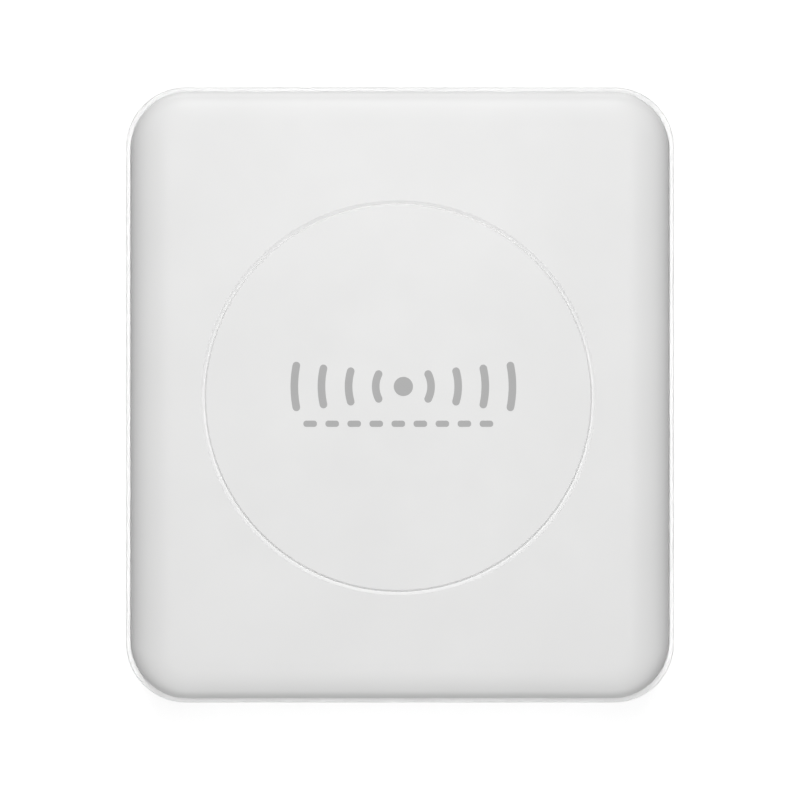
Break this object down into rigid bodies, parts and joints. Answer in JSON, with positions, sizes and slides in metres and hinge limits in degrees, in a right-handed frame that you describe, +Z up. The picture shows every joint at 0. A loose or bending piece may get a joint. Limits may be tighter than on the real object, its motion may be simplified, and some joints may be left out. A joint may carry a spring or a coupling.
{
  "type": "mobile hotspot",
  "caption": "Flat battery-powered pocket router: softly rounded square cover with a round groove, bright rim frame, side buttons, rear sockets, SIM tray and battery door.",
  "frame": {"origin": "middle of the footprint, on the table the feet stand on", "axes": "+X to the side with the buttons, +Y to the side with the network and USB-C sockets, +Z up through the top cover"},
  "size_m": [0.098, 0.11, 0.022],
  "materials": {
    "cover": "satin, very fine moulded texture",
    "frame": "semi-gloss",
    "base": "fine moulded texture",
    "rubber": "matt",
    "button": "semi-gloss",
    "steel": "plain plated",
    "black": "moulded",
    "gold": "gold plated",
    "chip": "moulded resin",
    "board": "solder mask",
    "pad": "matt",
    "aluminium": "brushed",
    "flex": "coated film",
    "lead": "extruded jacket",
    "clear": "polished, milky",
    "lamp": "moulded lens",
    "card": "plain",
    "cell": "moulded, fine texture",
    "label": "coated paper"
  },
  "bodies": {
    "housing": {"top_cover": "cover", "mid_frame": "frame", "bottom_cover": "base", "foot_1": "rubber", "foot_2": "rubber", "foot_3": "rubber", "foot_4": "rubber", "case_screw_1": "steel", "case_screw_2": "steel", "case_screw_3": "steel", "case_screw_4": "steel", "power_switch": "steel", "pairing_switch": "steel", "reset_switch": "steel", "sim_socket": "steel", "usb_c_shell": "steel", "modem_shield": "steel", "modem_screw": "steel", "processor_shield": "steel", "network_jack": "black", "usb_c_tongue": "black", "modem_socket": "black", "battery_contacts": "black", "network_jack_contacts": "gold", "modem_standoff": "gold", "wifi_aerial_1": "gold", "wifi_aerial_2": "gold", "network_transformer": "chip", "processor": "chip", "main_board": "board", "modem_card": "board", "processor_thermal_pad": "pad", "modem_thermal_pad": "pad", "heat_spreader": "aluminium", "cell_aerial_1": "flex", "cell_aerial_2": "flex", "cell_aerial_3": "flex", "cell_aerial_4": "flex", "aerial_lead_1": "lead", "aerial_lead_2": "lead", "aerial_lead_3": "lead", "aerial_lead_4": "lead", "light_guide": "clear", "status_light_1": "lamp", "status_light_2": "lamp", "status_light_3": "lamp", "status_light_4": "lamp", "rating_label": "label"},
    "power_button": {"power_button": "button", "power_switch_plunger": "black"},
    "pairing_button": {"pairing_button": "button", "pairing_switch_plunger": "black"},
    "reset_button": {"reset_plunger": "black"},
    "sim_tray": {"sim_tray": "button", "sim_card": "card"},
    "battery_door": {"battery_door": "base"},
    "battery": {"battery_pack": "cell", "battery_terminals": "gold", "battery_label": "label"}
  },
  "joints": [
    {"name": "power_press", "type": "slide", "parent": "housing", "child": "power_button", "axis": [-1, 0, 0], "range_m": [0, 0.0004], "stiffness_N_per_m": 2000, "springref_m": -0.0004},
    {"name": "pairing_press", "type": "slide", "parent": "housing", "child": "pairing_button", "axis": [-1, 0, 0], "range_m": [0, 0.0004], "stiffness_N_per_m": 2000, "springref_m": -0.0004},
    {"name": "reset_press", "type": "slide", "parent": "housing", "child": "reset_button", "axis": [0, -1, 0], "range_m": [0, 0.0003], "stiffness_N_per_m": 2500, "springref_m": -0.0003},
    {"name": "sim_tray_slide", "type": "slide", "parent": "housing", "child": "sim_tray", "axis": [-1, 0, 0], "range_m": [0, 0.022]},
    {"name": "battery_door_pull", "type": "slide", "parent": "housing", "child": "battery_door", "axis": [0, 0, -1], "range_m": [0, 0.04]},
    {"name": "battery_lift_out", "type": "slide", "parent": "housing", "child": "battery", "axis": [0, 0, -1], "range_m": [0, 0.02]}
  ],
  "couplings": [
    {"joint": "battery_lift_out", "follows": "battery_door_pull", "ratio": 0.5}
  ]
}
